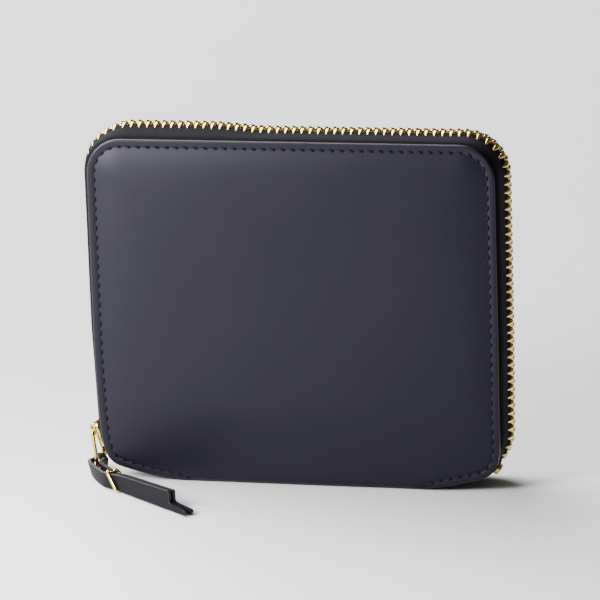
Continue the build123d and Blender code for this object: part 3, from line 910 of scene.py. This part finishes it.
# ---- Coin zip's tab ----
# A small wire eye that hangs from the coin slider's arch, forged out into a flat rounded tongue
# to pull by. Plated and polished like the slider.
def wire(line, radius, closed=False):
    """Round wire bent along a line of points in space."""
    line = np.array(line, float)
    if closed:
        along = np.roll(line, -1, axis=0) - np.roll(line, 1, axis=0)
    else:
        along = np.gradient(line, axis=0)
    along /= np.linalg.norm(along, axis=1)[:, None]
    beside = np.cross(along[0], [0.31, 0.74, 0.6])
    rings = []
    for spot, direction in zip(line, along):
        beside = beside - direction * (beside @ direction)
        beside /= np.linalg.norm(beside)
        third = np.cross(direction, beside)
        rings.append([spot + radius * (beside * math.cos(t) + third * math.sin(t))
                      for t in np.radians(np.arange(0, 360, 30))])
    return tube(rings, closed)


eye = rounded_line([(0, 0.3), (1.0, 0.3, 0.3), (1.0, 2.3, 0.3), (-1.0, 2.3, 0.3), (-1.0, 0.3, 0.3),
                    (-0.05, 0.3)])
eye = np.column_stack([eye, np.full(len(eye), 1.55)])
tongue = plate(rounded_box(2.4, 2.2, 0.7, 6) + [0, 3.15], 1.3, 1.8, 0.15)
coin_tab = new_mesh("coin_zip_tab", *placed(join([wire(eye, 0.24, True), tongue]), *coin_place),
                    gold)
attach(coin_tab, "coin_tab")
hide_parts("coin_pull")

# ---- Link ----
# Round brass wire bent to a rectangle, soldered shut, plated and polished. It hangs from the
# slider's arch, and the strap is folded round its lower bar.
link_half_width = 3.2
link_length = 9.5
bend = 0.9
link_line = rounded_line([(0, 0), (link_half_width, 0, bend), (link_half_width, -link_length, bend),
                          (-link_half_width, -link_length, bend), (-link_half_width, 0, bend),
                          (-0.2, 0)])
link_line = np.column_stack([np.zeros(len(link_line)), link_line])
lean = math.radians(6.5)
link_place = ((-55.70, 0, 11.03), (math.cos(lean), 0, math.sin(lean)), (0, 1, 0),
              (-math.sin(lean), 0, math.cos(lean)))
link = new_mesh("wire_link", *placed(wire(link_line, 0.5, True), *link_place), gold)
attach(link, "link")
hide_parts("pull_link")

# ---- Strap ----
# One narrow strip of waxed calf, folded in half round the link's lower bar. Its colour is set
# darker than the covers' calf as painted shade. It twists on edge at its neck, and its ends are
# cut with a step and a blunt tongue.
shaded_strap_calf, tree, shader = new_material("waxed_strap_calf_navy_painted_shade", Roughness=0.6, IOR=1.4,
                                        Specular_IOR_Level=0.2)
place = add(tree, "ShaderNodeTexCoord", {}).outputs["Object"]
pores = add(tree, "ShaderNodeTexNoise", {"Vector": place, "Scale": 2600.0, "Detail": 3.0})
# This dye is darker than the covers' calf: painted shade on the strap.
dye = add(tree, "ShaderNodeMix", {"Factor": pores.outputs["Fac"], "A": linear("#05040a"),
                                  "B": linear("#0b0913")}, data_type="RGBA")
bump = add(tree, "ShaderNodeBump", {"Height": pores.outputs["Fac"], "Strength": 0.2,
                                    "Distance": 0.00006})
tree.links.new(dye.outputs["Result"], shader.inputs["Base Color"])
tree.links.new(bump.outputs["Normal"], shader.inputs["Normal"])
strap_along = np.array([0.777, -0.628, 0])
strap_beside = np.array([0.628, 0.777, 0])
strap_from = np.array([-46.2, -17.0, 2.5])
strap_thickness = 1.1
reach = np.array([2, 5, 9, 15, 21, 27, 32])
rising = np.array([0, 0, 1]) * 0.012
splay = 0.8 * np.clip((reach - 22) / 10, 0, 1) ** 2
near_tail = [strap_from + (strap_along + rising) * r - strap_beside * 0.6 for r in reach]
far_tail = [strap_from + (strap_along + rising) * r + strap_beside * (0.6 + w)
            for r, w in zip(reach, splay)]
neck = [(-48.6, -16.2, 2.2), (-51.7, -12.2, 2.05), (-54.5, -7.4, 1.85), (-56.3, -3.6, 1.75),
        (-56.7, -1.0, 2.4), (-54.9, -0.3, 3.85), (-53.45, -0.8, 2.6), (-53.4, -3.0, 2.1),
        (-52.3, -7.0, 2.4), (-49.6, -11.6, 2.6), (-47.2, -14.9, 2.5)]
neck_turn = [(0, 0, 1), (0, 0, 1), (0, -0.15, 1), (0, -0.6, 0.75), (0, -1, 0.1), (0, -1, 0),
             (0, -1, -0.1), (0, -0.6, 0.75), (0, -0.15, 1), (0, 0, 1), (0, 0, 1)]
neck_width = [3.9, 3.6, 3.3, 3.0, 2.7, 2.6, 2.7, 3.0, 3.3, 3.6, 3.9]
tail_width = [4.1, 4.4, 4.6, 4.8, 5.0, 5.1, 5.2]
strip_centre = curve_through(near_tail[::-1] + neck + far_tail, 1600)
strip_turn = curve_through([(0, 0, 1)] * 7 + neck_turn + [(0, 0, 1)] * 7, 1600)
strip_width = curve_through([(w, 0) for w in tail_width[::-1] + neck_width + tail_width],
                            1600)[:, 0]
strip_gone = np.concatenate([[0], np.cumsum(np.linalg.norm(np.diff(strip_centre, axis=0),
                                                           axis=1))])
strip_tangent = np.gradient(strip_centre, axis=0)
strip_tangent /= np.linalg.norm(strip_tangent, axis=1)[:, None]
strip_turn -= strip_tangent * (strip_turn * strip_tangent).sum(1)[:, None]
strip_turn /= np.linalg.norm(strip_turn, axis=1)[:, None]
strip_face = np.cross(strip_tangent, strip_turn)


def strip_points(gone, share, lift):
    """Points on the strip: distance along it, share of its width, and lift off its middle."""
    def read(table):
        return np.stack([np.interp(gone, strip_gone, table[:, k]) for k in range(3)], -1)
    width = np.interp(gone, strip_gone, strip_width)
    return (read(strip_centre) + read(strip_turn) * (width * share)[..., None]
            + read(strip_face) * lift[..., None])


share = np.array([-0.5, -0.485, -0.465, -0.43, -0.38, -0.33, -0.29, -0.26, -0.22, -0.18, -0.14,
                  -0.12, -0.1, -0.05, 0.05, 0.15, 0.28, 0.38, 0.43, 0.465, 0.485, 0.5])
cut_back = np.interp(share, [-0.5, -0.46, -0.32, -0.26, -0.15, -0.11, -0.07, 0.44, 0.5],
                     [0.7, 0.15, 0.0, 0.7, 5.2, 6.4, 6.7, 6.8, 7.3])
strip_total = strip_gone[-1]
end_length = 14
rim_radius = 0.3
ends = np.array([0, 0.05, 0.12, 0.25, 0.45, 0.8, 1.3, 2, 3, 4.2, 5.6, 7, 8.5, 10]) / 10
start_part = cut_back[:, None] + ends * (end_length - cut_back[:, None])
middle = np.linspace(end_length + 0.4, strip_total - end_length - 0.4, 120)
middle_part = np.repeat(middle[None], len(share), axis=0)
gone = np.concatenate([start_part, middle_part, strip_total - start_part[:, ::-1]], axis=1)
shares = np.repeat(share[:, None], gone.shape[1], axis=1)
end_gap = np.minimum(gone - cut_back[:, None], strip_total - gone - cut_back[:, None])
rim_gap = np.minimum(end_gap, (0.5 - np.abs(shares)) * 4.8)
into_rim = 1 - np.clip(rim_gap, 0, rim_radius) / rim_radius
lift = strap_thickness / 2 - 0.28 * (1 - np.sqrt(1 - into_rim ** 2))
strap = shell("pull_strip", strip_points(gone, shares, -lift), strip_points(gone, shares, lift),
              shaded_strap_calf, paint, rim_gap[:-1, :-1] < inked_width)
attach(strap, "strap")
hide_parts("pull_strap")

# ---- Strap band ----
# Soft gold-plated wire wound twice round the strap just after its neck, aslant, and pinched.
wind = rounded_line([(0, 2.3), (-1.6, 2.3, 0.6), (-1.6, -2.0, 0.6), (1.6, -2.0, 0.6),
                     (1.6, 2.3, 0.6), (0.05, 2.3)])
rounds = np.vstack([wind, wind[1:]])
drift = np.linspace(-0.42, 0.42, len(rounds)) - 0.9 * rounds[:, 1]
band_line = (strap_from + strap_along * (1.3 + drift[:, None])
             + strap_beside * rounds[:, :1] + np.array([0, 0, 1]) * rounds[:, 1:])
lowest_wire = 0.4
band_line[:, 2] = np.maximum(band_line[:, 2], lowest_wire)
band = new_mesh("strap_winding", *wire(band_line, 0.36), gold)
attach(band, "strap")
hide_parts("strap_band")

# ---- Size of the finished wallet ----
low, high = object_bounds()
